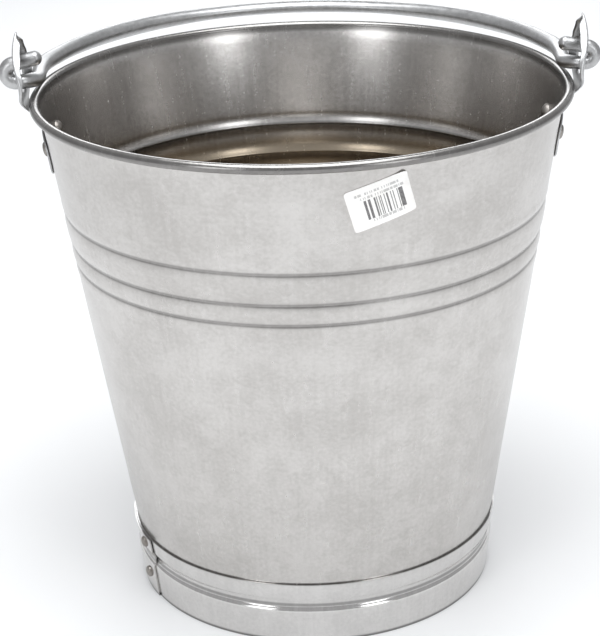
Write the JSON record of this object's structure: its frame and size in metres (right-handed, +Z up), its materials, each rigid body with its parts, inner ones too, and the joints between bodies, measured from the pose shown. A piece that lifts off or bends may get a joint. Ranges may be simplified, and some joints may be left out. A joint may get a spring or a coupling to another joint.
{
  "type": "feed bucket",
  "caption": "Tapered sheet-metal pail with a wired rim, pressed grooves, a riveted foot ring, riveted side ears and a swinging bail handle.",
  "frame": {"origin": "on the floor, under the middle of the pail: the centre of the circle that the foot ring stands on", "axes": "+Z up along the pail's axis, +X through the right ear and along the bail's hinge line, +Y towards the side where the bail lies at rest"},
  "size_m": [0.3191, 0.308, 0.315],
  "materials": {
    "sheet_zinc": "satin hot-dip zinc on thin sheet, faintly mottled",
    "ring_zinc": "brighter, smoother zinc, nearly mirror-like",
    "dipped_zinc": "duller, thicker hot-dip zinc with soft highlights",
    "rivet_zinc": "dull zinc on set rivet heads",
    "wire_steel": "plain drawn wire, hidden in the rim",
    "label_paper": null
  },
  "bodies": {
    "bucket": {"body_shell": "sheet_zinc", "rim_wire": "wire_steel", "bottom_disc": "sheet_zinc", "foot_ring": "ring_zinc", "foot_ring_rivet_upper": "rivet_zinc", "foot_ring_rivet_lower": "rivet_zinc", "ear_left": "dipped_zinc", "ear_right": "dipped_zinc", "ear_left_rivet_front": "rivet_zinc", "ear_left_rivet_back": "rivet_zinc", "ear_right_rivet_front": "rivet_zinc", "ear_right_rivet_back": "rivet_zinc", "price_label": "label_paper"},
    "bail": {"bail_handle": "dipped_zinc"}
  },
  "joints": [
    {"name": "bail_swing", "type": "hinge", "parent": "bucket", "child": "bail", "pos_m": [0, 0, 0.2934], "axis": [1, 0, 0], "range_deg": [0, 190]}
  ]
}
